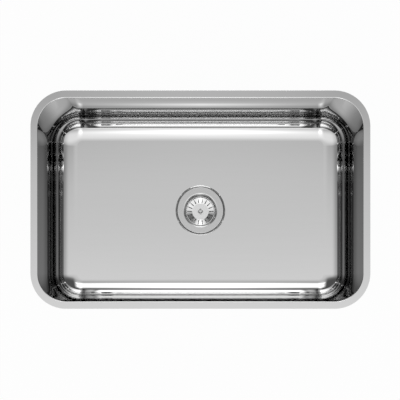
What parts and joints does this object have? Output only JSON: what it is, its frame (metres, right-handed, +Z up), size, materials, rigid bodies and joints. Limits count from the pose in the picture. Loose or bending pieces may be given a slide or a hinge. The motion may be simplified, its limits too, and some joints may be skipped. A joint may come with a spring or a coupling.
{
  "type": "undermount kitchen sink",
  "caption": "Rectangular undermount kitchen sink of pressed stainless steel, with a basket strainer waste, lift-out basket, tailpiece and sound-deadening pads.",
  "frame": {"origin": "centre of the bowl's opening, in the plane of the flange's top face", "axes": "+X to the sink's right along its length, +Y to its back, +Z up out of the bowl"},
  "size_m": [0.7112, 0.4572, 0.3924],
  "materials": {
    "polished_steel": "satin polished stainless, grain along the walls",
    "bright_steel": "mirror polished stainless",
    "rubber": "matt black rubber",
    "pad_rubber": "matt grey sound-deadening rubber",
    "fibre": "matt pressed fibre",
    "seal_foam": "matt grey foam rubber",
    "cast_metal": "satin nickel on cast brass",
    "white_plastic": "matt white plastic washer"
  },
  "bodies": {
    "sink": {"sink_bowl": "polished_steel", "wall_pad_front": "pad_rubber", "wall_pad_back": "pad_rubber", "wall_pad_left": "pad_rubber", "wall_pad_right": "pad_rubber", "floor_pad_left": "pad_rubber", "floor_pad_right": "pad_rubber", "strainer_body": "bright_steel", "flange_gasket": "seal_foam", "drain_gasket": "rubber", "friction_washer": "fibre", "lock_nut": "cast_metal", "tailpiece_washer": "white_plastic", "tailpiece": "bright_steel", "coupling_nut": "cast_metal"},
    "stopper": {"stopper_seal": "rubber", "seal_retainer": "bright_steel"},
    "basket": {"basket_cup": "bright_steel", "basket_post": "bright_steel", "basket_knob": "bright_steel", "post_nut": "bright_steel"}
  },
  "joints": [
    {"name": "basket_lift", "type": "slide", "parent": "sink", "child": "stopper", "axis": [0, 0, 1], "range_m": [0, 0.3]},
    {"name": "basket_turn", "type": "hinge", "parent": "stopper", "child": "basket", "pos_m": [0, 0, -0.2598], "axis": [0, 0, 1], "continuous": true}
  ]
}
